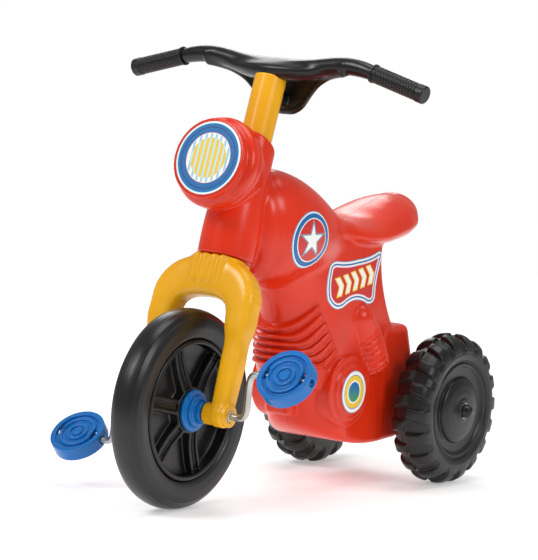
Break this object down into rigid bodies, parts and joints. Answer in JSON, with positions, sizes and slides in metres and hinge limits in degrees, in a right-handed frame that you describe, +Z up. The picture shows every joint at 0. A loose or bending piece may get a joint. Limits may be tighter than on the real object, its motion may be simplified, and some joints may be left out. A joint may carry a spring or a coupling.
{
  "type": "child's tricycle",
  "caption": "Toddler's pedal tricycle with a motorcycle-shaped moulded body, raked steering fork, direct-drive front wheel and lugged rear wheels.",
  "frame": {"origin": "on the floor under the middle of the tricycle's overall length and width", "axes": "-Y towards the front wheel, +X to the rider's left, +Z up"},
  "size_m": [0.4668, 0.705, 0.5873],
  "materials": {
    "red_plastic": "gloss",
    "yellow_plastic": "gloss",
    "blue_plastic": "gloss",
    "black_plastic": "gloss",
    "tyre_plastic": "satin",
    "grip_plastic": "satin",
    "steel": "satin",
    "nylon": "satin",
    "headlight_sticker": "gloss",
    "roundel_sticker": "gloss",
    "side_sticker": "gloss",
    "engine_sticker": "gloss"
  },
  "bodies": {
    "frame": {"body_shell": "red_plastic", "headlight_sticker": "headlight_sticker", "roundel_sticker_left": "roundel_sticker", "roundel_sticker_right": "roundel_sticker", "side_sticker_left": "side_sticker", "side_sticker_right": "side_sticker", "engine_sticker_left": "engine_sticker", "engine_sticker_right": "engine_sticker", "column_bush_upper": "nylon", "column_bush_lower": "nylon", "rear_axle": "steel", "rear_bush_left": "nylon", "rear_bush_right": "nylon", "rear_spacer_left": "black_plastic", "rear_spacer_right": "black_plastic", "rear_washer_left": "steel", "rear_washer_right": "steel", "axle_cap_left": "black_plastic", "axle_cap_right": "black_plastic"},
    "steering": {"fork": "yellow_plastic", "handlebar": "black_plastic", "handlebar_screw": "steel", "grip_left": "grip_plastic", "grip_right": "grip_plastic", "fork_bush_left": "nylon", "fork_bush_right": "nylon"},
    "front_wheel": {"front_tyre": "tyre_plastic", "front_rim": "black_plastic", "hub_flange_left": "blue_plastic", "hub_flange_right": "blue_plastic", "crank_axle": "steel", "pedal_push_nut_left": "steel", "pedal_push_nut_right": "steel"},
    "pedal_left": {"pedal_left": "blue_plastic"},
    "pedal_right": {"pedal_right": "blue_plastic"},
    "rear_wheel_left": {"rear_wheel_left": "tyre_plastic"},
    "rear_wheel_right": {"rear_wheel_right": "tyre_plastic"}
  },
  "joints": [
    {"name": "steering_turn", "type": "hinge", "parent": "frame", "child": "steering", "pos_m": [0, -0.2, 0.13], "axis": [0, 0.309, 0.9511], "range_deg": [-35, 35]},
    {"name": "crank_spin", "type": "hinge", "parent": "steering", "child": "front_wheel", "pos_m": [0, -0.2225, 0.13], "axis": [1, 0, 0], "continuous": true},
    {"name": "pedal_left_spin", "type": "hinge", "parent": "front_wheel", "child": "pedal_left", "pos_m": [0.184, -0.25519, 0.19415], "axis": [1, 0, 0], "continuous": true},
    {"name": "pedal_right_spin", "type": "hinge", "parent": "front_wheel", "child": "pedal_right", "pos_m": [-0.184, -0.18981, 0.06585], "axis": [1, 0, 0], "continuous": true},
    {"name": "rear_wheel_left_spin", "type": "hinge", "parent": "frame", "child": "rear_wheel_left", "pos_m": [0.1075, 0.2485, 0.104], "axis": [1, 0, 0], "continuous": true},
    {"name": "rear_wheel_right_spin", "type": "hinge", "parent": "frame", "child": "rear_wheel_right", "pos_m": [-0.1075, 0.2485, 0.104], "axis": [1, 0, 0], "continuous": true}
  ]
}
